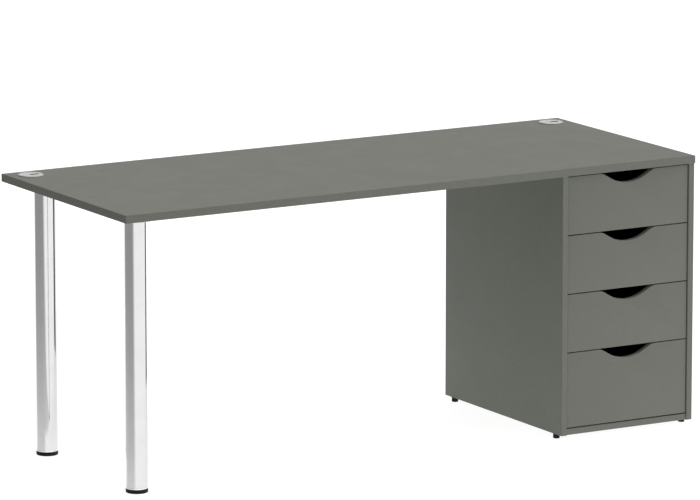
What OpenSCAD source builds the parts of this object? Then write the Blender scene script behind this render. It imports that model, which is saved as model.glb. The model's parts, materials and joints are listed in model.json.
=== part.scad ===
// Writing desk with a fixed four-drawer pedestal on the right and two
// round chromed legs on the left.  Millimetres, +Z up.
// The origin is on the floor under the middle of the desktop:
// +X runs to the sitter's right, +Y to the rear, drawers open towards -Y.

/* [Desktop] */
// Overall width of the desk
desk_w = 1800; // [1600:10:2000]
// Overall depth of the desk
desk_d = 722; // [700:1:800]
// Height of the desktop's upper face above the floor
desk_h = 766; // [740:1:790]
// Thickness of the desktop board
top_t = 22; // [20:1:28]
// Thickness of the edge strips glued round the boards
band_t = 2; // [2:0.5:3]
// Radius on the long edges of the edge strips
band_r = 1.8; // [0.5:0.1:2]

/* [Cable grommets] */
// Distance of each grommet's centre from the end and from the rear edge
grommet_inset = 60; // [55:1:70]
// Diameter of the grommet's flange
grommet_d = 70; // [68:1:78]
// Diameter of the hole cut through the desktop
grommet_hole = 60; // [60:1:62]
// Height of the flange above the desktop
grommet_h = 2.5; // [2.5:0.5:4]
// Length of the cable slot in the cap
slot_l = 28; // [24:1:30]
// Width of the cable slot in the cap
slot_w = 11; // [8:1:12]

/* [Legs] */
// Outside diameter of the leg tubes
leg_d = 60; // [50:1:70]
// Wall thickness of the leg tubes
leg_wall = 1.5; // [1:0.1:3]
// Distance of the leg centres from the left end
leg_inset_x = 59; // [55:1:80]
// Distance of the front leg's centre from the front edge
leg_inset_front = 58; // [55:1:80]
// Distance of the rear leg's centre from the rear edge
leg_inset_rear = 144; // [144:1:180]
// Height of the black adjusting foot
foot_h = 11; // [8:0.5:14]
// Height of the bright ring between foot and tube
ring_h = 4.5; // [3:0.5:6]

/* [Pedestal] */
// Overall width of the pedestal
ped_w = 433; // [400:1:460]
// Overall depth of the pedestal, side strips included
ped_d = 622; // [600:1:640]
// Thickness of the pedestal boards
board_t = 18; // [18:1:19]
// Clear height under the pedestal, set by its glides
glide_h = 13; // [10:1:20]
// Diameter of the glides
glide_d = 18.8; // [16:0.2:20]
// Set-back of the drawer fronts behind the side panels' front edges
front_recess = 4; // [3:1:6]

/* [Drawers] */
// Height of the three upper drawer fronts
small_front_h = 162.5; // [150:0.5:170]
// Gap above and below each drawer front
gap_z = 3; // [2:0.5:4]
// Gap beside each drawer front
gap_x = 2; // [2:0.5:3]
// Thickness of the drawer fronts
front_t = 18; // [16:1:19]
// Length of the steel drawer sides
drawer_l = 500; // [450:10:520]
// How far a drawer pulls out
drawer_travel = 385; // [300:5:400]
// Height of the steel sides of the three upper drawers
side_h = 118; // [100:1:118]
// Height of the steel sides of the bottom drawer
deep_side_h = 150; // [120:1:160]
// Half width of the finger cut-out, shoulders included
grip_w = 92; // [80:1:100]
// Depth of the finger cut-out
grip_h = 31; // [24:1:34]

/* [Hidden] */
$fn = 64;

// desktop box
x0 = -desk_w/2;  x1 = desk_w/2;
y0 = -desk_d/2;  y1 = desk_d/2;
zu = desk_h - top_t;                 // underside of the desktop

// grommets
gx = x1 - grommet_inset;  gy = y1 - grommet_inset;
ring_t = 2;                          // wall of the grommet's tube
cap_r = grommet_d/2 - 5;             // cap disc
ring_in = grommet_hole/2 - 0.5 - ring_t;    // bore that the cap turns in

// legs
lx = x0 + leg_inset_x;
lyf = y0 + leg_inset_front;  lyr = y1 - leg_inset_rear;
leg_ys = [lyf, lyr];
leg_r = leg_d/2;  leg_ri = leg_r - leg_wall;
plate_t = 3;  plate_r = 49;  plate_pc = 40;
hub_h = 28;  hub_r = leg_ri - 0.3;
set_z = zu - plate_t - 14;
stud_r = 5;

// pedestal
pxr = x1 - 2;  pxl = pxr - ped_w;      // outer faces
ixl = pxl + board_t;  ixr = pxr - board_t;   // inner faces
in_w = ixr - ixl;
pyf = y0 + 2;  pyb = pyf + ped_d;
zb = glide_h;                          // underside of the carcass
zbt = zb + board_t;                    // upper face of the bottom board
ybk = pyb - board_t;                   // inner face of the back board
fy = pyf + front_recess;               // face of the drawer fronts
fyb = fy + front_t;                    // rear face of the drawer fronts
rail_w = 80;
rail_ys = [pyf + 85, ybk - rail_w];    // front edges of the two rails
glide_xs = [pxl + board_t/2, pxr - board_t/2];
glide_ys = [pyf + 40, pyb - 39];
socket_r = 6;  socket_l = 14;  stem_r = 4;  stem_l = 27;

// joints of the carcass: [y, z] of cam bolts and dowels, at both sides
cam_yz = [[pyf + 90, zb + board_t/2], [ybk - 95, zb + board_t/2],
          [rail_ys[0] + 26, zu - board_t/2], [rail_ys[1] + 26, zu - board_t/2]];
cam_back_z = [zb + 110, zu - 150];
dowel_yz = [[pyf + 50, zb + board_t/2], [ybk - 55, zb + board_t/2],
            [rail_ys[0] + 56, zu - board_t/2], [rail_ys[1] + 56, zu - board_t/2],
            [ybk + board_t/2, zb + 190], [ybk + board_t/2, zu - 230]];
cam_depth = 24;

// drawers, numbered from the top: [underside of front, height of front, side height]
big_front_h = zu - zbt - 5*gap_z - 3*small_front_h;
z4 = zbt + gap_z;
z3 = z4 + big_front_h + gap_z;
z2 = z3 + small_front_h + gap_z;
z1 = z2 + small_front_h + gap_z;
D = [[z1, small_front_h, side_h], [z2, small_front_h, side_h],
     [z3, small_front_h, side_h], [z4, big_front_h, deep_side_h]];
lift = 12;                 // runner base above the front's lower edge
steel = 1.2;               // sheet of the drawer sides and runners
su = 12.5;                 // side clearance between carcass and drawer side
run_y0 = fyb + 2;          // front end of the cabinet runners
run_y1 = fyb + drawer_l + 2;
roll_r = 10.5;  pin_r = 2.5;
front_roll_y = run_y0 + 14;
rear_roll_y = fyb + drawer_l - 14;
front_roll_v = 14.7;  rear_roll_v = 12;
run_screw_y = [run_y0 + 60, run_y1 - 60];

// grip outline: bottom arc R1, shoulders R2, joined by a tangent line
R1 = 115;  R2 = 30;  RR = R1 + R2;
g_a = sqrt(grip_w*grip_w + (RR - grip_h)*(RR - grip_h));
g_t = atan2(grip_w, RR - grip_h) - acos(RR/g_a);
shoulder = [for (i = [0:10]) [grip_w - R2*sin(i*g_t/10), -R2 + R2*cos(i*g_t/10)]];
bottom_arc = [for (i = [0:24]) [R1*sin(g_t*(1 - i/12)), -grip_h + R1 - R1*cos(g_t*(1 - i/12))]];
grip = concat(shoulder, bottom_arc, [for (i = [10:-1:0]) [-shoulder[i][0], shoulder[i][1]]]);

// colours
c_board = [0.45, 0.46, 0.43];
c_band = [0.43, 0.44, 0.41];
c_dark = [0.13, 0.13, 0.14];
c_drawer = [0.2, 0.2, 0.21];
c_silver = [0.72, 0.73, 0.74];
c_zinc = [0.6, 0.61, 0.63];

module rrect(w, h, r) {
  translate([r, 0]) square([w - 2*r, h]);
  translate([0, r]) square([w, h - 2*r]);
  for (a = [r, w - r], b = [r, h - r]) translate([a, b]) circle(r = r);
}
module box(p, q) { translate(p) cube([q[0]-p[0], q[1]-p[1], q[2]-p[2]]); }
module along_x(xa, xb) { translate([xa, 0, 0]) rotate([90, 0, 90]) linear_extrude(xb - xa) children(); }
module along_y(ya, yb) { translate([0, yb, 0]) rotate([90, 0, 0]) linear_extrude(yb - ya) children(); }
// rod along X at (y, z)
module xrod(xa, xb, y, z, r) { translate([xa, y, z]) rotate([0, 90, 0]) cylinder(h = xb - xa, r = r); }
// everything given is made again on the other inner face of the pedestal
module both_sides() { children(); translate([ixl + ixr, 0, 0]) mirror([1, 0, 0]) children(); }

// ---------------- desktop ----------------
module top_blank() {
  intersection() {
    along_y(y0, y1) translate([x0, zu]) rrect(desk_w, top_t, band_r);
    along_x(x0, x1) translate([y0, zu]) rrect(desk_d, top_t, band_r);
    translate([x0, y0, zu - 1]) linear_extrude(top_t + 2) rrect(desk_w, desk_d, band_r);
  }
}
module desktop_panel() {
  color(c_board) difference() {
    box([x0 + band_t, y0 + band_t, zu], [x1 - band_t, y1 - band_t, desk_h]);
    for (s = [-1, 1]) translate([s*gx, gy, zu - 1]) cylinder(h = top_t + 2, r = grommet_hole/2);
    for (y = leg_ys, a = [45:90:315]) translate([lx + plate_pc*cos(a), y + plate_pc*sin(a), zu - 1]) cylinder(h = 15.2, r = 2.05);
    for (x = [ixl + 60, ixr - 60], y = rail_ys) translate([x, y + rail_w/2, zu - 1]) cylinder(h = 15.2, r = 2.05);
  }
}
module band_cut(p, q) { color(c_band) intersection() { top_blank(); box(p, q); } }
module edge_band_front() band_cut([x0 - 1, y0 - 1, zu - 1], [x1 + 1, y0 + band_t, desk_h + 1]);
module edge_band_rear() band_cut([x0 - 1, y1 - band_t, zu - 1], [x1 + 1, y1 + 1, desk_h + 1]);
module edge_band_left() band_cut([x0 - 1, y0 + band_t, zu - 1], [x0 + band_t, y1 - band_t, desk_h + 1]);
module edge_band_right() band_cut([x1 - band_t, y0 + band_t, zu - 1], [x1 + 1, y1 - band_t, desk_h + 1]);

// ---------------- grommets ----------------
// ring: domed flange on the desktop, tube through it, seat for the cap
module grommet_ring(s) {
  R = grommet_d/2;  q = 1.4;
  translate([s*gx, gy, desk_h]) rotate_extrude() difference() {
    union() {
      translate([ring_in, -top_t + 4]) square([ring_t, top_t - 4]);
      translate([ring_in, 0]) square([R - ring_in, grommet_h - q]);
      translate([ring_in, 0]) square([R - q - ring_in, grommet_h]);
      translate([R - q, grommet_h - q]) circle(r = q);
    }
    translate([ring_in - 1, grommet_h - 2]) square([cap_r + 0.3 - ring_in + 1, 3]);
    translate([R - 3*q, -2]) square([4*q, 2]);
  }
}
module grommet_rings() { color(c_silver) for (s = [-1, 1]) grommet_ring(s); }
// cap: disc with the cable slot and a short skirt that turns in the ring
module grommet_cap(s) {
  color(c_silver) translate([s*gx, gy, desk_h]) difference() {
    union() {
      translate([0, 0, grommet_h - 2]) cylinder(h = 2, r = cap_r);
      difference() {
        translate([0, 0, grommet_h - 9]) cylinder(h = 7, r = ring_in - 0.05);
        translate([0, 0, grommet_h - 10]) cylinder(h = 8, r = ring_in - 1.6);
      }
    }
    translate([9, -4, grommet_h - 3]) linear_extrude(4) union() {
      square([slot_l - slot_w, slot_w], center = true);
      for (e = [-1, 1]) translate([e*(slot_l - slot_w)/2, 0]) circle(r = slot_w/2);
    }
  }
}
module grommet_cap_left() grommet_cap(-1);
module grommet_cap_right() grommet_cap(1);

// ---------------- legs ----------------
module leg_plates() {
  color(c_zinc) for (y = leg_ys) translate([lx, y, 0]) difference() {
    union() {
      translate([0, 0, zu - plate_t]) cylinder(h = plate_t, r = plate_r);
      translate([0, 0, zu - plate_t - hub_h]) cylinder(h = hub_h, r = hub_r);
    }
    translate([0, 0, zu - plate_t - hub_h - 1]) cylinder(h = hub_h + 1, r = hub_r - 4.5);
    for (a = [45:90:315]) translate([plate_pc*cos(a), plate_pc*sin(a), zu - plate_t - 1]) cylinder(h = plate_t + 2, r = 2.6);
    translate([hub_r - 6, 0, set_z]) rotate([0, 90, 0]) cylinder(h = 8, r = 3);
  }
}
module leg_tube(y) {
  color([0.8, 0.81, 0.83]) translate([lx, y, 0]) difference() {
    translate([0, 0, foot_h + ring_h]) cylinder(h = zu - plate_t - foot_h - ring_h, r = leg_r);
    translate([0, 0, foot_h]) cylinder(h = zu, r = leg_ri);
    translate([leg_r - 5, 0, set_z]) rotate([0, 90, 0]) cylinder(h = 8, r = 3.3);
  }
}
module leg_tube_front() leg_tube(lyf);
module leg_tube_rear() leg_tube(lyr);
// press-in plug: the bright ring shows below the tube, the bore takes the stud
module leg_end_plugs() {
  color([0.88, 0.88, 0.9]) for (y = leg_ys) translate([lx, y, foot_h]) rotate_extrude() {
    q = 1.2;
    translate([stud_r + 0.05, 0]) square([leg_r - q - stud_r - 0.05, ring_h]);
    translate([leg_r - q - 1, q]) square([q + 1, ring_h - 2*q]);
    for (v = [q, ring_h - q]) translate([leg_r - q, v]) circle(r = q);
    translate([stud_r + 0.05, ring_h]) square([5, 24]);
    translate([leg_ri - 3.1, ring_h]) square([3, 24]);
  }
}
module leg_foot(y) {
  R = leg_r + 0.3;  q = 2.2;
  color(c_dark) translate([lx, y, 0]) rotate_extrude() {
    square([R - q, foot_h]);
    translate([0, q]) square([R, foot_h - q - 0.8]);
    translate([0, foot_h - 0.8]) square([R - 0.8, 0.8]);
    intersection() {
      translate([R - q, q]) circle(r = q);
      square([R + 1, foot_h]);
    }
    intersection() {
      translate([R - 0.8, foot_h - 0.8]) circle(r = 0.8);
      square([R + 1, foot_h]);
    }
    translate([0, foot_h]) square([stud_r, 40]);
  }
}
module leg_foot_front() leg_foot(lyf);
module leg_foot_rear() leg_foot(lyr);
// headless set screws, hexagon socket outward
module leg_set_screws() {
  color(c_dark) for (y = leg_ys) translate([lx, y, set_z]) rotate([0, 90, 0]) difference() {
    translate([0, 0, leg_r - 6.2]) cylinder(h = 6, r = 2.95);
    translate([0, 0, leg_r - 3.2]) cylinder(h = 4, r = 1.7, $fn = 6);
  }
}
// pan-head screw pointing up; z is the underside of what it clamps
module up_screw(x, y, z, l) {
  translate([x, y, z]) difference() {
    union() {
      translate([0, 0, -2.5]) cylinder(h = 2.5, r = 4.3);
      translate([0, 0, -2.5]) cylinder(h = 2.5 + l, r = 2);
    }
    for (a = [0, 90]) rotate([0, 0, a]) translate([-2.4, -0.5, -3]) cube([4.8, 1, 2]);
  }
}
module leg_plate_screws() {
  color(c_zinc) for (y = leg_ys, a = [45:90:315])
    up_screw(lx + plate_pc*cos(a), y + plate_pc*sin(a), zu - plate_t, plate_t + 14);
}

// ---------------- pedestal carcass ----------------
// countersunk runner screw, axis along X, head at the runner web
module run_screw(y, z, g = 0) {
  translate([ixl, y, z]) rotate([0, 90, 0]) union() {
    translate([0, 0, -0.8]) cylinder(h = steel + 0.8, r1 = 1.75 + g, r2 = 3.4 + g);
    translate([0, 0, -12 - g]) cylinder(h = 12 + g, r = 1.75 + g);
  }
}
module all_run_screws(g = 0) {
  for (d = D, y = run_screw_y) run_screw(y, d[0] + lift + rear_roll_v, g);
}
// bores on the left inner face, shared by the side panel and the boards
module bolt_bores(g = 0.05) {
  for (p = cam_yz) xrod(ixl - 10 - g, ixl + cam_depth - 7.7, p[0], p[1], 3 + g);
  for (z = cam_back_z) xrod(ixl - 10 - g, ixl + cam_depth - 7.7, ybk + board_t/2, z, 3 + g);
}
module dowel_rods(g = 0) {
  for (p = dowel_yz) xrod(ixl - 12 - g, ixl + 22 + g, p[0], p[1], 4 + g);
}
module cam_discs(g = 0) {
  for (p = cam_yz) translate([ixl + cam_depth, p[0], p[1] - board_t/2]) cylinder(h = 12.5 + g, r = 7.5 + g);
  for (z = cam_back_z) translate([ixl + cam_depth, ybk, z]) rotate([-90, 0, 0]) cylinder(h = 12.5 + g, r = 7.5 + g);
}
module side_left() {
  difference() {
    box([pxl, pyf + band_t, zb], [ixl, pyb, zu]);
    bolt_bores();
    dowel_rods(0.05);
    all_run_screws(0.05);
    for (y = glide_ys) {
      translate([glide_xs[0], y, zb - 1]) cylinder(h = socket_l + 1.3, r = socket_r + 0.05);
      translate([glide_xs[0], y, zb]) cylinder(h = stem_l + 2, r = stem_r + 0.5);
    }
  }
}
module pedestal_side_left() { color(c_board) side_left(); }
module pedestal_side_right() { color(c_board) translate([ixl + ixr, 0, 0]) mirror([1, 0, 0]) side_left(); }
module pedestal_bottom() {
  color(c_board) difference() {
    box([ixl, fy + band_t, zb], [ixr, ybk, zbt]);
    both_sides() { bolt_bores(); dowel_rods(0.05); cam_discs(0.05); }
  }
}
module pedestal_back() {
  color(c_board) difference() {
    box([ixl, ybk, zb], [ixr, pyb, zu]);
    both_sides() { bolt_bores(); dowel_rods(0.05); cam_discs(0.05); }
  }
}
module pedestal_rails() {
  color(c_dark) difference() {
    for (y = rail_ys) box([ixl, y, zu - board_t], [ixr, y + rail_w, zu]);
    both_sides() { bolt_bores(); dowel_rods(0.05); cam_discs(0.05); }
    for (x = [ixl + 60, ixr - 60], y = rail_ys) translate([x, y + rail_w/2, zu - board_t - 1]) cylinder(h = board_t + 2, r = 2.4);
  }
}
module pedestal_edge_bands() {
  color(c_band) {
    both_sides() translate([pxl, pyf, zb]) linear_extrude(zu - zb) intersection() {
      rrect(board_t, 10, band_r);
      square([board_t, band_t]);
    }
    along_x(ixl, ixr) translate([fy, zb]) intersection() {
      rrect(10, board_t, band_r);
      square([band_t, board_t]);
    }
  }
}
// cam discs with a cross slot, and the bolts that they pull in
module cam_fittings() {
  color(c_zinc) both_sides() {
    difference() {
      cam_discs();
      for (p = cam_yz, a = [45, 135]) translate([ixl + cam_depth, p[0], p[1] - board_t/2]) rotate([0, 0, a]) translate([-4.5, -0.8, -1]) cube([9, 1.6, 3.5]);
      for (z = cam_back_z, a = [45, 135]) translate([ixl + cam_depth, ybk, z]) rotate([0, a, 0]) translate([-4.5, -1, -0.8]) cube([9, 3.5, 1.6]);
    }
    for (p = cam_yz) xrod(ixl - 10, ixl + cam_depth - 7.75, p[0], p[1], 3);
    for (z = cam_back_z) xrod(ixl - 10, ixl + cam_depth - 7.75, ybk + board_t/2, z, 3);
  }
}
module dowels() { color([0.8, 0.66, 0.46]) both_sides() dowel_rods(0); }
module desktop_screws() {
  color(c_zinc) for (x = [ixl + 60, ixr - 60], y = rail_ys)
    up_screw(x, y + rail_w/2, zu - board_t, board_t + 14);
}

// ---------------- glides ----------------
module glide_sockets() {
  color(c_zinc) for (x = glide_xs, y = glide_ys) translate([x, y, zb]) difference() {
    cylinder(h = socket_l, r = socket_r);
    translate([0, 0, -1]) cylinder(h = socket_l + 2, r = stem_r + 0.05);
  }
}
module glide(x, y) {
  R = glide_d/2;  q = 1.6;
  color(c_dark) translate([x, y, 0]) rotate_extrude() {
    square([R - q, glide_h]);
    translate([0, q]) square([R, glide_h - q]);
    intersection() {
      translate([R - q, q]) circle(r = q);
      square([R + 1, glide_h]);
    }
    translate([0, glide_h]) square([stem_r, stem_l]);
  }
}
module glide_front_left() glide(glide_xs[0], glide_ys[0]);
module glide_front_right() glide(glide_xs[1], glide_ys[0]);
module glide_rear_left() glide(glide_xs[0], glide_ys[1]);
module glide_rear_right() glide(glide_xs[1], glide_ys[1]);

// ---------------- runners ----------------
// steel channel screwed to the pedestal side; a roller turns at its front end
module runner_left(z) {
  difference() {
    union() {
      along_y(run_y0, run_y1) translate([ixl, z]) {
        square([steel, 24]);
        square([9.5, steel]);
        translate([8.5, 0]) square([1, 3]);
      }
      along_y(run_y0 + 28, run_y1) translate([ixl, z]) {
        translate([0, 24 - steel]) square([9.5, steel]);
        translate([8.5, 21]) square([1, 3]);
      }
      xrod(ixl, ixl + 2.4, front_roll_y, z + front_roll_v, 4);
      xrod(ixl, ixl + 9.4, front_roll_y, z + front_roll_v, pin_r);
      xrod(ixl + 8.4, ixl + 9.4, front_roll_y, z + front_roll_v, 4);
    }
    all_run_screws(0.05);
  }
}
module cabinet_runners() { color(c_dark) both_sides() for (d = D) runner_left(d[0] + lift); }
module runner_screws() { color(c_zinc) both_sides() all_run_screws(); }
module rollers(y, z) {
  color([0.85, 0.85, 0.82]) both_sides() difference() {
    xrod(ixl + 2.6, ixl + 8.2, y, z, roll_r);
    xrod(ixl + 2, ixl + 9, y, z, pin_r + 0.05);
  }
}
module front_rollers(n) rollers(front_roll_y, D[n-1][0] + lift + front_roll_v);
module rear_rollers(n) rollers(rear_roll_y, D[n-1][0] + lift + rear_roll_v);

// ---------------- drawers ----------------
module drawer_front(n) {
  z = D[n-1][0];  h = D[n-1][1];  w = in_w/2 - gap_x;
  color(c_board) along_y(fy, fyb) translate([(ixl + ixr)/2, z])
    polygon(concat([[-w, h], [-w, 0], [w, 0], [w, h]], [for (p = grip) [p[0], p[1] + h]]));
}
// folded steel side: hem on top, ledge for the bottom board, track outside
module side_profile(h) {
  translate([su, 2]) square([steel, h]);
  translate([su, 2]) square([15, steel]);
  translate([su, 2 + h - steel]) square([5, steel]);
  translate([su + 5 - steel, 2 + h - 6]) square([steel, 6]);
  translate([2.5, 25.5]) square([su - 2.5 + 0.5, steel]);
  translate([2.5, 25.5]) square([steel, 4.5]);
}
module drawer_side(n) {
  z = D[n-1][0] + lift;
  along_y(fyb, fyb + drawer_l) translate([ixl, z]) side_profile(D[n-1][2]);
  xrod(ixl + 8.4, ixl + su + 0.5, rear_roll_y, z + rear_roll_v, 4);
  xrod(ixl + 1.7, ixl + su + 0.5, rear_roll_y, z + rear_roll_v, pin_r);
  xrod(ixl + 1.7, ixl + 2.4, rear_roll_y, z + rear_roll_v, 4);
}
module drawer_side_left(n) { color(c_drawer) drawer_side(n); }
module drawer_side_right(n) { color(c_drawer) translate([ixl + ixr, 0, 0]) mirror([1, 0, 0]) drawer_side(n); }
dxl = ixl + su + steel + 0.2;  dxr = ixr - su - steel - 0.2;
module drawer_back(n) {
  z = D[n-1][0] + lift;
  color(c_drawer) box([dxl, fyb + drawer_l - 16, z + 2 + steel + 16], [dxr, fyb + drawer_l, z + 2 + D[n-1][2] - 7]);
}
module drawer_bottom(n) {
  z = D[n-1][0] + lift;
  color(c_drawer) box([dxl, fyb, z + 2 + steel], [dxr, fyb + drawer_l, z + 2 + steel + 16]);
}

desktop_panel();
edge_band_front();
edge_band_rear();
edge_band_left();
edge_band_right();
grommet_rings();
grommet_cap_left();
grommet_cap_right();
leg_plates();
leg_tube_front();
leg_tube_rear();
leg_end_plugs();
leg_foot_front();
leg_foot_rear();
leg_set_screws();
leg_plate_screws();
pedestal_side_left();
pedestal_side_right();
pedestal_bottom();
pedestal_back();
pedestal_rails();
pedestal_edge_bands();
cam_fittings();
dowels();
desktop_screws();
glide_sockets();
glide_front_left();
glide_front_right();
glide_rear_left();
glide_rear_right();
cabinet_runners();
runner_screws();
drawer_front(1);  // drawer_1_front
drawer_side_left(1);  // drawer_1_side_left
drawer_side_right(1);  // drawer_1_side_right
drawer_back(1);  // drawer_1_back
drawer_bottom(1);  // drawer_1_bottom
drawer_front(2);  // drawer_2_front
drawer_side_left(2);  // drawer_2_side_left
drawer_side_right(2);  // drawer_2_side_right
drawer_back(2);  // drawer_2_back
drawer_bottom(2);  // drawer_2_bottom
drawer_front(3);  // drawer_3_front
drawer_side_left(3);  // drawer_3_side_left
drawer_side_right(3);  // drawer_3_side_right
drawer_back(3);  // drawer_3_back
drawer_bottom(3);  // drawer_3_bottom
drawer_front(4);  // drawer_4_front
drawer_side_left(4);  // drawer_4_side_left
drawer_side_right(4);  // drawer_4_side_right
drawer_back(4);  // drawer_4_back
drawer_bottom(4);  // drawer_4_bottom
front_rollers(1);  // drawer_1_front_rollers
front_rollers(2);  // drawer_2_front_rollers
front_rollers(3);  // drawer_3_front_rollers
front_rollers(4);  // drawer_4_front_rollers
rear_rollers(1);  // drawer_1_rear_rollers
rear_rollers(2);  // drawer_2_rear_rollers
rear_rollers(3);  // drawer_3_rear_rollers
rear_rollers(4);  // drawer_4_rear_rollers
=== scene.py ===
import json
import math

import bmesh
import bpy
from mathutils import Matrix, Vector


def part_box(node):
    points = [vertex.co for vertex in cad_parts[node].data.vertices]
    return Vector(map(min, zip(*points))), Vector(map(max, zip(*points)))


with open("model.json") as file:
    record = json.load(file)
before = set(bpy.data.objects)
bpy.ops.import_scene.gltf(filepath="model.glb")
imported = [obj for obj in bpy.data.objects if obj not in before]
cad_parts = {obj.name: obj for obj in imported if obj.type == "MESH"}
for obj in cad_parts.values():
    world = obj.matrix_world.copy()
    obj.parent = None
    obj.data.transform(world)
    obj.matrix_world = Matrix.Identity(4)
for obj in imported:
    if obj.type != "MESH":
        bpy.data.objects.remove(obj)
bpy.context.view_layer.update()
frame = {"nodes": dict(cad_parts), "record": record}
nodes = frame["nodes"]
scene = bpy.context.scene
scene.view_settings.view_transform = "Standard"
scene.view_settings.look = "None"
scene.view_settings.exposure = 0.0
scene.view_settings.gamma = 1.0


# ------------------------------------------------------------------ node helpers
class Tree:
    """Small helper that builds a node tree with short calls."""

    def __init__(self, tree):
        self.t = tree
        tree.nodes.clear()

    def node(self, kind, **props):
        n = self.t.nodes.new(kind)
        for k, v in props.items():
            setattr(n, k, v)
        return n

    def put(self, socket, value):
        if isinstance(value, bpy.types.NodeSocket):
            self.t.links.new(value, socket)
        elif value is not None:
            socket.default_value = value

    def coords(self, offset=(0.0, 0.0, 0.0), scale=(1.0, 1.0, 1.0), kind="Object"):
        tc = self.node("ShaderNodeTexCoord")
        mp = self.node("ShaderNodeMapping")
        self.t.links.new(tc.outputs[kind], mp.inputs["Vector"])
        mp.inputs["Location"].default_value = offset
        mp.inputs["Scale"].default_value = scale
        return mp.outputs["Vector"]

    def noise(self, vec, scale, detail=2.0, rough=0.5, distortion=0.0, out="Fac"):
        n = self.node("ShaderNodeTexNoise")
        self.put(n.inputs["Vector"], vec)
        n.inputs["Scale"].default_value = scale
        n.inputs["Detail"].default_value = detail
        n.inputs["Roughness"].default_value = rough
        n.inputs["Distortion"].default_value = distortion
        return n.outputs[out]

    def voronoi(self, vec, scale, feature="F1", random=1.0, out="Distance"):
        n = self.node("ShaderNodeTexVoronoi", feature=feature)
        self.put(n.inputs["Vector"], vec)
        n.inputs["Scale"].default_value = scale
        n.inputs["Randomness"].default_value = random
        return n.outputs[out]

    def math(self, op, a, b=None, c=None, clamp=False):
        n = self.node("ShaderNodeMath", operation=op, use_clamp=clamp)
        self.put(n.inputs[0], a)
        if b is not None:
            self.put(n.inputs[1], b)
        if c is not None:
            self.put(n.inputs[2], c)
        return n.outputs[0]

    def span(self, value, a, b, lo=0.0, hi=1.0, smooth=True):
        n = self.node("ShaderNodeMapRange", interpolation_type="SMOOTHSTEP" if smooth else "LINEAR")
        self.put(n.inputs["Value"], value)
        n.inputs["From Min"].default_value = a
        n.inputs["From Max"].default_value = b
        n.inputs["To Min"].default_value = lo
        n.inputs["To Max"].default_value = hi
        return n.outputs["Result"]

    def mix(self, fac, a, b, blend="MIX"):
        n = self.node("ShaderNodeMix", data_type="RGBA", blend_type=blend)
        self.put(n.inputs[0], fac)
        self.put(n.inputs[6], a)
        self.put(n.inputs[7], b)
        return n.outputs[2]

    def xyz(self, vec):
        n = self.node("ShaderNodeSeparateXYZ")
        self.put(n.inputs[0], vec)
        return n.outputs

    def bump(self, height, strength, distance, normal=None):
        n = self.node("ShaderNodeBump")
        self.put(n.inputs["Height"], height)
        n.inputs["Strength"].default_value = strength
        n.inputs["Distance"].default_value = distance
        if normal is not None:
            self.put(n.inputs["Normal"], normal)
        return n.outputs["Normal"]


def rgb(c, k=1.0):
    return (c[0] * k, c[1] * k, c[2] * k, 1.0)


class Finish(Tree):
    """A Principled material with a plain interface."""

    def __init__(self, name):
        self.m = bpy.data.materials.new(name)
        self.m.use_nodes = True
        super().__init__(self.m.node_tree)
        self.b = self.node("ShaderNodeBsdfPrincipled")
        out = self.node("ShaderNodeOutputMaterial")
        self.t.links.new(self.b.outputs[0], out.inputs["Surface"])

    def set(self, **values):
        for k, v in values.items():
            self.put(self.b.inputs[k.replace("_", " ")], v)
        return self


def seed_offset(seed):
    return ((seed * 7.31) % 11.0, (seed * 3.77) % 9.0, (seed * 5.19) % 13.0)


# ------------------------------------------------------------------ finishes
BOARD = (0.1735, 0.183, 0.157)
BAND = (0.168, 0.177, 0.1535)


def edge_distance(f, box, axes):
    """Distance in metres from the surface point to the nearest of the box's sides along these axes."""
    lo, hi = box
    p = f.xyz(f.coords())
    found = None
    for a in axes:
        for d in (f.math("SUBTRACT", p[a], lo[a]), f.math("SUBTRACT", hi[a], p[a])):
            found = d if found is None else f.math("MINIMUM", found, d)
    return found


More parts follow.
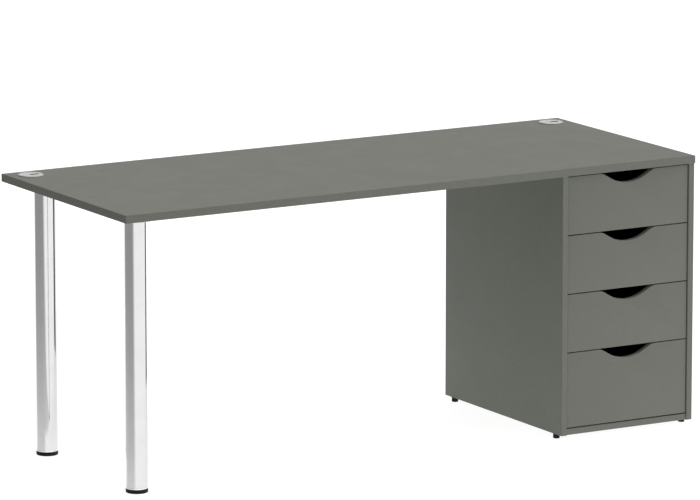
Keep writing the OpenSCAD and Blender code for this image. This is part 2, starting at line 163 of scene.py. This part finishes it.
def melamine(name, seed, base=BOARD, box=None, axes=(0, 2), mottle=1.0, grip=None):
    """Melamine-faced board: fine pearl texture, faint mottling, handling marks and slightly rubbed edges; with a grip,
    painted light on the finger cut-out's wall and a painted highlight on the bevelled front arris.
    """
    f = Finish(name)
    v = f.coords(seed_offset(seed))
    cloud = f.noise(v, 3.2, 3.0, 0.55)
    patch = f.noise(v, 26.0, 3.0, 0.6)
    mottled = f.noise(v, 165.0, 3.0, 0.62)
    fleck = f.noise(v, 620.0, 2.0, 0.6)
    tone = f.span(cloud, 0.28, 0.72, 0.991, 1.009)
    tone = f.math("MULTIPLY", tone, f.span(patch, 0.3, 0.7, 1 - 0.008 * mottle, 1 + 0.008 * mottle))
    tone = f.math("MULTIPLY", tone, f.span(mottled, 0.3, 0.7, 1 - 0.028 * mottle, 1 + 0.028 * mottle))
    tone = f.math("MULTIPLY", tone, f.span(fleck, 0.3, 0.7, 0.955, 1.045))
    colour = f.mix(1.0, rgb(base), tone_rgb(f, tone), "MULTIPLY")
    # a few pores a little darker, a few fibres a little lighter
    pores = f.span(f.voronoi(v, 410.0), 0.05, 0.17, 1.0, 0.0)
    colour = f.mix(f.math("MULTIPLY", pores, 0.16), colour, rgb(base, 0.62))
    if box is not None:
        near = f.span(edge_distance(f, box, axes), 0.0002, 0.0022, 1.0, 0.0)
        rub = f.math("MULTIPLY", near, f.span(f.noise(v, 70.0, 3.0, 0.7), 0.35, 0.75, 0.02, 0.30))
        colour = f.mix(rub, colour, rgb(base, 1.7))
    if grip is not None:
        # painted light: the wall of the routed finger cut-out, which lies in shade, is painted lighter, and a painted
        # highlight runs along the bevelled front arris, faint all round the front and stronger along the cut-out
        p = f.xyz(f.coords())
        (x0, y0, z0), (x1, y1, z1) = box
        inside = f.math("MULTIPLY", f.span(p[2], z1 - 0.0016, z1 - 0.0012, 1.0, 0.0), f.span(p[0], x0 + 0.02, x0 + 0.021))
        inside = f.math("MULTIPLY", inside, f.span(p[0], x1 - 0.021, x1 - 0.02, 1.0, 0.0))
        inside = f.math("MULTIPLY", inside, f.span(p[2], z1 - grip, z1 - grip + 0.002))
        painted_light_wall = f.math("MULTIPLY", f.span(p[1], y0 + 0.0005, y0 + 0.0007), f.span(p[1], y1 - 0.0005, y1 - 0.0002, 1.0, 0.0))
        arris = f.math("MULTIPLY", f.span(p[1], y0 + 0.00003, y0 + 0.0001), f.span(p[1], y0 + 0.0005, y0 + 0.0007, 1.0, 0.0))
        colour = f.mix(f.math("MULTIPLY", painted_light_wall, inside), colour, rgb(base, 1.55))
        colour = f.mix(f.math("MULTIPLY", arris, f.math("MULTIPLY_ADD", inside, 0.45, 0.25)), colour, rgb(base, 2.0))
    smudge = f.noise(v, 9.0, 4.0, 0.6, 0.8)
    rough = f.span(smudge, 0.3, 0.7, 0.545, 0.605)
    rough = f.math("ADD", rough, f.span(fleck, 0.3, 0.7, -0.03, 0.03))
    pearl = f.math("ADD", f.noise(v, 900.0, 3.0, 0.6), f.math("MULTIPLY", f.voronoi(v, 640.0), 0.5))
    n = f.bump(pearl, 0.30, 0.00006)
    n = f.bump(f.noise(v, 5.0, 2.0, 0.5), 0.05, 0.0008, n)
    f.set(Base_Color=colour, Roughness=rough, Normal=n, Specular_IOR_Level=0.2, IOR=1.5)
    return f.m


def tone_rgb(f, value):
    n = f.node("ShaderNodeCombineColor")
    for i in range(3):
        f.t.links.new(value, n.inputs[i])
    return n.outputs[0]


def edge_strip(name, seed, along, base=BAND):
    """ABS edge strip: fine streaks along its length, a little smoother than the board."""
    f = Finish(name)
    stretch = [60.0, 60.0, 60.0]
    stretch[along] = 2.5
    vs = f.coords(seed_offset(seed), tuple(stretch))
    v = f.coords(seed_offset(seed))
    streak = f.noise(vs, 14.0, 3.0, 0.6)
    mottled = f.noise(v, 140.0, 3.0, 0.6)
    tone = f.math("MULTIPLY", f.span(streak, 0.3, 0.7, 0.97, 1.03), f.span(mottled, 0.3, 0.7, 0.965, 1.035))
    colour = f.mix(1.0, rgb(base), tone_rgb(f, tone), "MULTIPLY")
    scuff = f.span(f.noise(v, 34.0, 4.0, 0.75), 0.62, 0.78, 0.0, 0.22)
    colour = f.mix(scuff, colour, rgb(base, 1.35))
    rough = f.span(streak, 0.3, 0.7, 0.5, 0.58)
    n = f.bump(f.math("ADD", streak, f.noise(v, 800.0, 2.0, 0.6)), 0.22, 0.00005)
    f.set(Base_Color=colour, Roughness=rough, Normal=n, Specular_IOR_Level=0.22, IOR=1.5)
    return f.m


def raw_board(name, seed, base=(0.05, 0.0515, 0.046)):
    """Anthracite melamine used inside the pedestal."""
    f = Finish(name)
    v = f.coords(seed_offset(seed))
    mottled = f.noise(v, 190.0, 3.0, 0.6)
    cloud = f.noise(v, 6.0, 3.0, 0.5)
    tone = f.math("MULTIPLY", f.span(mottled, 0.3, 0.7, 0.9, 1.1), f.span(cloud, 0.3, 0.7, 0.94, 1.06))
    colour = f.mix(1.0, rgb(base), tone_rgb(f, tone), "MULTIPLY")
    dust = f.span(f.noise(v, 22.0, 5.0, 0.7), 0.5, 0.8, 0.0, 0.10)
    colour = f.mix(dust, colour, rgb((0.16, 0.155, 0.14)))
    f.set(
        Base_Color=colour,
        Roughness=f.span(cloud, 0.3, 0.7, 0.5, 0.62),
        Normal=f.bump(f.noise(v, 850.0, 3.0, 0.6), 0.3, 0.00006),
        Specular_IOR_Level=0.3,
        IOR=1.5,
    )
    return f.m


def chrome(name, seed, base=(0.705, 0.705, 0.716), rough=(0.05, 0.09)):
    """Bright chrome plating: a soft haze, polishing lines round the tube and hairline scratches."""
    f = Finish(name)
    v = f.coords(seed_offset(seed))
    haze = f.noise(v, 14.0, 4.0, 0.6, 0.5)
    colour = f.mix(f.span(haze, 0.35, 0.75), rgb(base), rgb(base, 0.955))
    spots = f.span(f.noise(v, 260.0, 2.0, 0.5), 0.66, 0.76, 0.0, 0.22)
    colour = f.mix(spots, colour, rgb((0.62, 0.62, 0.60)))
    lines = f.noise(f.coords(seed_offset(seed), (1.0, 1.0, 55.0)), 42.0, 3.0, 0.6)
    hair = f.noise(f.coords(seed_offset(seed), (900.0, 900.0, 9.0)), 1.0, 3.0, 0.7)
    r = f.math("ADD", f.span(haze, 0.3, 0.75, rough[0], rough[1]), f.span(lines, 0.3, 0.7, 0.0, 0.03))
    n = f.bump(f.math("ADD", lines, f.math("MULTIPLY", hair, 0.4)), 0.06, 0.00002)
    n = f.bump(f.noise(v, 9.0, 1.0, 0.4), 0.05, 0.0006, n)
    f.set(Base_Color=colour, Metallic=1.0, Roughness=r, Normal=n)
    return f.m


def silver_plastic(name, seed, base=(0.60, 0.61, 0.61), face=None):
    """Silver-grey lacquered plastic with fine aluminium flakes; below the given face height it is painted near black
    and non-metallic, as painted shade in the slot and under the cap.
    """
    f = Finish(name)
    v = f.coords(seed_offset(seed))
    flakes = f.voronoi(v, 1500.0, out="Color")
    bright = f.node("ShaderNodeRGBToBW")
    f.t.links.new(flakes, bright.inputs[0])
    tone = f.math("MULTIPLY", f.span(bright.outputs[0], 0.2, 0.8, 0.90, 1.08, False), f.span(f.noise(v, 60.0, 3.0, 0.6), 0.3, 0.7, 0.965, 1.03))
    colour = f.mix(1.0, rgb(base), tone_rgb(f, tone), "MULTIPLY")
    metal = 0.35
    if face is not None:
        # painted shade: below the cap's top face the slot walls and underside are painted near black, standing in for
        # the shade in the recess
        painted_slot_shade = f.span(f.xyz(f.coords())[2], face - 0.0007, face - 0.0001, 1.0, 0.0)
        colour = f.mix(painted_slot_shade, colour, rgb((0.04, 0.04, 0.04)))
        metal = f.math("MULTIPLY", f.math("SUBTRACT", 1.0, painted_slot_shade), 0.35)
    n = f.bump(f.noise(v, 1300.0, 2.0, 0.6), 0.25, 0.00003)
    f.set(
        Base_Color=colour,
        Metallic=metal,
        Roughness=f.span(f.noise(v, 45.0, 4.0, 0.65), 0.3, 0.7, 0.34, 0.46),
        Normal=n,
    )
    return f.m


def black_plastic(name, seed, base=(0.0055, 0.0055, 0.0058)):
    """Moulded black plastic with a fine spark-eroded grain and scuffs towards the floor."""
    f = Finish(name)
    v = f.coords(seed_offset(seed))
    grain = f.noise(v, 1500.0, 3.0, 0.65)
    tone = f.span(f.noise(v, 120.0, 4.0, 0.65), 0.3, 0.7, 0.8, 1.35)
    colour = f.mix(1.0, rgb(base), tone_rgb(f, tone), "MULTIPLY")
    low = f.span(f.xyz(f.coords())[2], 0.0, 0.006, 1.0, 0.0)
    scuff = f.math("MULTIPLY", low, f.span(f.noise(v, 300.0, 4.0, 0.7), 0.45, 0.75, 0.0, 0.25))
    colour = f.mix(scuff, colour, rgb((0.055, 0.054, 0.051)))
    f.set(
        Base_Color=colour,
        Roughness=f.span(grain, 0.3, 0.7, 0.42, 0.58),
        Normal=f.bump(grain, 0.45, 0.00008),
        Specular_IOR_Level=0.2,
    )
    return f.m


def zinc(name, seed, base=(0.60, 0.61, 0.60)):
    """Bright zinc plating with a faint spangle and duller patches."""
    f = Finish(name)
    v = f.coords(seed_offset(seed))
    cells = f.voronoi(v, 340.0, out="Color")
    bw = f.node("ShaderNodeRGBToBW")
    f.t.links.new(cells, bw.inputs[0])
    patch = f.noise(v, 40.0, 4.0, 0.65)
    tone = f.math("MULTIPLY", f.span(bw.outputs[0], 0.0, 1.0, 0.9, 1.1, False), f.span(patch, 0.3, 0.7, 0.88, 1.06))
    colour = f.mix(1.0, rgb(base), tone_rgb(f, tone), "MULTIPLY")
    colour = f.mix(f.span(patch, 0.58, 0.75, 0.0, 0.35), colour, rgb((0.52, 0.50, 0.42)))
    f.set(
        Base_Color=colour,
        Metallic=1.0,
        Roughness=f.span(patch, 0.3, 0.7, 0.26, 0.44),
        Normal=f.bump(f.math("ADD", bw.outputs[0], f.noise(v, 900.0, 2.0, 0.6)), 0.12, 0.00004),
    )
    return f.m


def powder_coat(name, seed, base=(0.036, 0.037, 0.039)):
    """Anthracite epoxy powder coat on the drawer sides and runners, rubbed brighter along the runner's edges."""
    f = Finish(name)
    v = f.coords(seed_offset(seed))
    peel = f.noise(v, 420.0, 2.0, 0.5)
    tone = f.math("MULTIPLY", f.span(f.noise(v, 18.0, 4.0, 0.6), 0.3, 0.7, 0.85, 1.2), f.span(f.noise(v, 900.0, 2.0, 0.5), 0.3, 0.7, 0.9, 1.12))
    colour = f.mix(1.0, rgb(base), tone_rgb(f, tone), "MULTIPLY")
    streaks = f.noise(f.coords(seed_offset(seed), (260.0, 4.0, 260.0)), 1.0, 3.0, 0.7)
    colour = f.mix(f.span(streaks, 0.62, 0.8, 0.0, 0.22), colour, rgb((0.17, 0.17, 0.168)))
    f.set(
        Base_Color=colour,
        Roughness=f.span(peel, 0.3, 0.7, 0.36, 0.5),
        Normal=f.bump(peel, 0.28, 0.00012),
        Specular_IOR_Level=0.45,
    )
    return f.m


def diecast(name, seed, base=(0.50, 0.50, 0.49)):
    f = Finish(name)
    v = f.coords(seed_offset(seed))
    patch = f.noise(v, 210.0, 4.0, 0.65)
    colour = f.mix(f.span(patch, 0.35, 0.7), rgb(base), rgb(base, 0.72))
    f.set(
        Base_Color=colour,
        Metallic=1.0,
        Roughness=f.span(patch, 0.3, 0.7, 0.36, 0.56),
        Normal=f.bump(f.noise(v, 1100.0, 3.0, 0.6), 0.3, 0.00006),
    )
    return f.m


def beech(name, seed):
    """Raw beech dowel: rays and grain along its length."""
    f = Finish(name)
    v = f.coords(seed_offset(seed), (1.0, 1.0, 0.12))
    grain = f.noise(v, 900.0, 4.0, 0.65, 0.4)
    rings = f.noise(v, 260.0, 3.0, 0.55, 1.2)
    colour = f.mix(f.span(rings, 0.35, 0.65), rgb((0.60, 0.41, 0.25)), rgb((0.47, 0.29, 0.155)))
    colour = f.mix(f.span(grain, 0.5, 0.75, 0.0, 0.5), colour, rgb((0.30, 0.17, 0.085)))
    f.set(
        Base_Color=colour,
        Roughness=f.span(grain, 0.3, 0.7, 0.55, 0.72),
        Normal=f.bump(grain, 0.4, 0.0001),
    )
    return f.m


def nylon(name, seed):
    """Natural nylon roller: milky, with a greyed running line."""
    f = Finish(name)
    v = f.coords(seed_offset(seed))
    patch = f.noise(v, 260.0, 3.0, 0.6)
    colour = f.mix(f.span(patch, 0.3, 0.7), rgb((0.60, 0.59, 0.55)), rgb((0.66, 0.655, 0.62)))
    dirt = f.span(f.noise(f.coords(seed_offset(seed), (1.0, 1.0, 1.0)), 90.0, 5.0, 0.75), 0.48, 0.75, 0.0, 0.45)
    colour = f.mix(dirt, colour, rgb((0.28, 0.275, 0.255)))
    f.set(
        Base_Color=colour,
        Roughness=f.span(patch, 0.3, 0.7, 0.3, 0.45),
        Normal=f.bump(f.noise(v, 1100.0, 2.0, 0.5), 0.2, 0.00004),
        Subsurface_Weight=0.12,
        Subsurface_Scale=0.002,
    )
    return f.m


# ------------------------------------------------------------------ finishes on the CAD nodes
slot_of = {}
for m in frame["record"].get("materials", []):
    for n in m.get("nodes", []):
        slot_of[n] = m.get("slot")


def dress(name, material):
    o = nodes[name]
    if not o.material_slots:
        o.data.materials.append(material)
    for s in o.material_slots:
        s.material = material


LONG = {
    "edge_band_front": 0, "edge_band_rear": 0, "edge_band_left": 1, "edge_band_right": 1,
    "pedestal_edge_bands": 2,
}
shared = {}
for i, name in enumerate(sorted(nodes)):
    seed = i + 1.0
    if name in ("desktop_panel",):
        dress(name, melamine("finish_" + name, seed))
    elif name.endswith("_front") and name.startswith("drawer_"):
        dress(name, melamine("finish_" + name, seed, box=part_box(name), axes=(0, 2), grip=0.036))
    elif name in ("pedestal_side_left", "pedestal_side_right"):
        dress(name, melamine("finish_" + name, seed, mottle=1.35))
    elif name in ("pedestal_back", "pedestal_bottom"):
        dress(name, melamine("finish_" + name, seed))
    elif name in LONG:
        dress(name, edge_strip("finish_" + name, seed, LONG[name]))
    elif name in ("pedestal_rails",) or (name.startswith("drawer_") and name.endswith(("_back", "_bottom"))):
        dress(name, raw_board("finish_" + name, seed))
    elif name in ("leg_tube_front", "leg_tube_rear"):
        dress(name, chrome("finish_" + name, seed))
    elif name == "leg_end_plugs":
        dress(name, chrome("finish_" + name, seed, (0.97, 0.97, 0.975), (0.22, 0.32)))
    elif name.startswith("grommet"):
        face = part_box(name)[1][2] if "cap" in name else None
        dress(name, silver_plastic("finish_" + name, seed, face=face))
    elif name.startswith(("leg_foot", "glide_front", "glide_rear")):
        dress(name, black_plastic("finish_" + name, seed))
    elif name == "cabinet_runners" or "_side_" in name:
        dress(name, powder_coat("finish_" + name, seed))
    elif name == "cam_fittings":
        dress(name, diecast("finish_" + name, seed))
    elif name == "dowels":
        dress(name, beech("finish_" + name, seed))
    elif name.endswith("rollers"):
        dress(name, nylon("finish_" + name, seed))
    else:
        dress(name, zinc("finish_" + name, seed))


# ------------------------------------------------------------------ softened arrises
def soften(name, planes, width):
    """Rounds the sharp edges that lie in the given planes (axis, side of the node's box) by a small bevel."""
    o = nodes[name]
    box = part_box(name)
    weld = o.modifiers.new("weld", "WELD")
    weld.merge_threshold = 0.000002
    flat = o.modifiers.new("flat", "DECIMATE")
    flat.decimate_type = "DISSOLVE"
    flat.angle_limit = math.radians(0.05)
    group = bpy.data.node_groups.new("arris_" + name, "GeometryNodeTree")
    group.interface.new_socket("Geometry", in_out="INPUT", socket_type="NodeSocketGeometry")
    group.interface.new_socket("Geometry", in_out="OUTPUT", socket_type="NodeSocketGeometry")
    g = Tree(group)
    gi, go = g.node("NodeGroupInput"), g.node("NodeGroupOutput")
    pos = g.xyz(g.node("GeometryNodeInputPosition").outputs[0])
    on = None
    for axis, end in planes:
        away = g.math("ABSOLUTE", g.math("SUBTRACT", pos[axis], box[end][axis]))
        hit = g.math("LESS_THAN", away, 0.00002)
        on = hit if on is None else g.math("MAXIMUM", on, hit)
    sharp = g.math("GREATER_THAN", g.node("GeometryNodeInputMeshEdgeAngle").outputs[0], 0.7)
    store = g.node("GeometryNodeStoreNamedAttribute", data_type="FLOAT", domain="EDGE")
    g.put(store.inputs["Geometry"], gi.outputs[0])
    store.inputs["Name"].default_value = "bevel_weight_edge"
    g.put(store.inputs["Value"], g.math("MULTIPLY", on, sharp))
    g.put(go.inputs[0], store.outputs[0])
    pick = o.modifiers.new("pick", "NODES")
    pick.node_group = group
    bevel = o.modifiers.new("arris", "BEVEL")
    bevel.limit_method = "WEIGHT"
    bevel.width = width
    bevel.segments = 3
    bevel.use_clamp_overlap = True
    shade = o.modifiers.new("shade", "NODES")
    shade.node_group = shade_group


# faces are shaded smooth, with hard edges above 30 degrees
shade_group = bpy.data.node_groups.new("shade_by_angle", "GeometryNodeTree")
shade_group.interface.new_socket("Geometry", in_out="INPUT", socket_type="NodeSocketGeometry")
shade_group.interface.new_socket("Geometry", in_out="OUTPUT", socket_type="NodeSocketGeometry")
sg = Tree(shade_group)
s_in, s_out = sg.node("NodeGroupInput"), sg.node("NodeGroupOutput")
drop = sg.node("GeometryNodeRemoveAttribute")
drop.inputs["Name"].default_value = "custom_normal"
sg.put(drop.inputs["Geometry"], s_in.outputs[0])
smooth_f = sg.node("GeometryNodeSetShadeSmooth", domain="FACE")
sg.put(smooth_f.inputs["Geometry"], drop.outputs[0])
smooth_f.inputs["Shade Smooth"].default_value = True
smooth_e = sg.node("GeometryNodeSetShadeSmooth", domain="EDGE")
sg.put(smooth_e.inputs["Geometry"], smooth_f.outputs[0])
sg.put(smooth_e.inputs["Shade Smooth"], sg.math("LESS_THAN", sg.node("GeometryNodeInputMeshEdgeAngle").outputs[0], math.radians(31.0)))
sg.put(s_out.inputs[0], smooth_e.outputs[0])

for i in (1, 2, 3, 4):
    soften("drawer_%d_front" % i, [(1, 0)], 0.0006)
soften("pedestal_side_left", [(0, 0)], 0.0005)
soften("pedestal_side_right", [(0, 1)], 0.0005)
soften("pedestal_back", [(1, 1)], 0.0005)


# ------------------------------------------------------------------ floor, light and camera
def sheet_object(name, corners, z):
    me = bpy.data.meshes.new(name)
    bm = bmesh.new()
    bm.faces.new([bm.verts.new((x, y, z)) for x, y in corners])
    bm.to_mesh(me)
    bm.free()
    o = bpy.data.objects.new(name, me)
    scene.collection.objects.link(o)
    return o


floor = sheet_object("floor", [(-70, -70), (70, -70), (70, 70), (-70, 70)], 0.0)
fm = bpy.data.materials.new("floor_finish")
fm.use_nodes = True
ft = Tree(fm.node_tree)
fb = ft.node("ShaderNodeBsdfPrincipled")
fo = ft.node("ShaderNodeOutputMaterial")
ft.t.links.new(fb.outputs[0], fo.inputs["Surface"])
fv = ft.coords()
ft.put(fb.inputs["Base Color"], ft.mix(ft.span(ft.noise(fv, 0.8, 3.0, 0.5), 0.3, 0.7), rgb((0.345, 0.345, 0.345)), rgb((0.355, 0.355, 0.352))))
ft.put(fb.inputs["Roughness"], ft.span(ft.noise(fv, 4.0, 3.0, 0.5), 0.3, 0.7, 0.75, 0.85))
fb.inputs["Specular IOR Level"].default_value = 0.1
fb.inputs["Emission Color"].default_value = (1.0, 1.0, 1.0, 1.0)
# The floor is lit from below like a light table, a little less to the left of the desk.
flp = ft.node("ShaderNodeLightPath")
fpx = ft.xyz(fv)
bounce = ft.span(fpx[0], -1.5, 0.3, 0.33, 0.98)
glow_mix = ft.node("ShaderNodeMix", data_type="FLOAT")
ft.put(glow_mix.inputs[0], flp.outputs["Is Diffuse Ray"])
glow_mix.inputs[2].default_value = 0.84
ft.put(glow_mix.inputs[3], bounce)
# Shaded floor near the legs is lifted for reflections, so that the tubes stay evenly bright down to their feet.
lift = 0.045
for tube, gain in (("leg_tube_front", 0.03), ("leg_tube_rear", 0.14)):
    tl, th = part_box(tube)
    gap = ft.node("ShaderNodeVectorMath", operation="DISTANCE")
    ft.put(gap.inputs[0], fv)
    gap.inputs[1].default_value = ((tl[0] + th[0]) / 2, (tl[1] + th[1]) / 2, 0.0)
    near = ft.math("EXPONENT", ft.math("MULTIPLY", gap.outputs["Value"], -1 / 0.6))
    lift = ft.math("MULTIPLY_ADD", near, gain, lift)
glossy = ft.math("MULTIPLY", flp.outputs["Is Glossy Ray"], lift)
seen_floor = ft.math("MULTIPLY_ADD", flp.outputs["Is Camera Ray"], 0.065, glossy)
ft.put(fb.inputs["Emission Strength"], ft.math("ADD", glow_mix.outputs[0], seen_floor))
floor.data.materials.append(fm)

# A grey reflector card lies on the floor to the left. Only reflections see it: it gives the chrome its soft grey side.
card = sheet_object("reflector_card", [(-9.0, -8.0), (-0.5, -8.0), (-0.5, 8.0), (-9.0, 8.0)], 0.002)
card.visible_camera = False
card.visible_diffuse = False
card.visible_shadow = False
card.visible_transmission = False
card.visible_volume_scatter = False
cm = bpy.data.materials.new("card_finish")
cm.use_nodes = True
ct = Tree(cm.node_tree)
cout = ct.node("ShaderNodeOutputMaterial")
cx = ct.xyz(ct.coords())
mask, reach = None, None
for tube in ("leg_tube_front", "leg_tube_rear"):
    tl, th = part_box(tube)
    dx = ct.math("SUBTRACT", (tl[0] + th[0]) / 2, cx[0])
    dy = ct.math("SUBTRACT", (tl[1] + th[1]) / 2, cx[1])
    turn = ct.math("DEGREES", ct.math("ARCTAN2", dx, dy))
    far = ct.math("SQRT", ct.math("ADD", ct.math("MULTIPLY", dx, dx), ct.math("MULTIPLY", dy, dy)))
    rim = ct.span(turn, 150.0, 164.0, 1.0, 0.0)
    start = ct.math("MULTIPLY_ADD", ct.math("EXPONENT", ct.math("MULTIPLY", far, -1 / 0.6)), -34.0, 150.0)
    ct.put(rim.node.inputs["From Min"], start)
    one = ct.math("MULTIPLY", ct.span(turn, 33.0, 60.0), rim)
    mask = one if mask is None else ct.math("MAXIMUM", mask, one)
    reach = far if reach is None else ct.math("MINIMUM", reach, far)
fall = ct.math("EXPONENT", ct.math("MULTIPLY", reach, -1 / 1.35))
glow = ct.math("MULTIPLY_ADD", fall, 0.53, 0.330)
ce = ct.node("ShaderNodeEmission")
ce.inputs["Color"].default_value = (1.0, 0.995, 1.0, 1.0)
ct.put(ce.inputs["Strength"], glow)
cc = ct.node("ShaderNodeBsdfTransparent")
cmix = ct.node("ShaderNodeMixShader")
ct.put(cmix.inputs[0], mask)
ct.t.links.new(cc.outputs[0], cmix.inputs[1])
ct.t.links.new(ce.outputs[0], cmix.inputs[2])
ct.t.links.new(cmix.outputs[0], cout.inputs["Surface"])
card.data.materials.append(cm)

world = bpy.data.worlds.new("studio")
scene.world = world
world.use_nodes = True
w = Tree(world.node_tree)
wo = w.node("ShaderNodeOutputWorld")
wb = w.node("ShaderNodeBackground")
wt = w.node("ShaderNodeTexCoord")
wx = w.xyz(wt.outputs["Generated"])
zen = w.span(wx[2], 0.76, 0.95, 0.0, 1.45)
side = w.span(wx[0], -0.55, 0.35, 0.0, 0.80)
rest = w.math("ADD", side, 0.03)
sky = w.node("ShaderNodeCombineColor")
for i, tint in enumerate((1.07, 1.0, 1.0)):
    w.put(sky.inputs[i], w.math("MULTIPLY_ADD", zen, tint, rest))
lp = w.node("ShaderNodeLightPath")
seen = w.mix(lp.outputs["Is Camera Ray"], sky.outputs[0], (1.15, 1.15, 1.15, 1.0))
w.put(wb.inputs["Color"], seen)
wb.inputs["Strength"].default_value = 1.0
w.t.links.new(wb.outputs[0], wo.inputs["Surface"])

cam = bpy.data.cameras.new("camera")
cam.sensor_width = 36.0
cam.lens = 306.0032
cam.clip_start, cam.clip_end = 0.5, 400.0
co = bpy.data.objects.new("camera", cam)
scene.collection.objects.link(co)
yaw, pitch = math.radians(30.2741), math.radians(11.0197)
aim = Vector((math.sin(yaw) * math.cos(pitch), math.cos(yaw) * math.cos(pitch), -math.sin(pitch)))
co.location = (-8.16026, -13.97156, 3.67607)
co.rotation_mode = "QUATERNION"
co.rotation_quaternion = aim.to_track_quat("-Z", "Y")
scene.camera = co

bpy.context.view_layer.update()
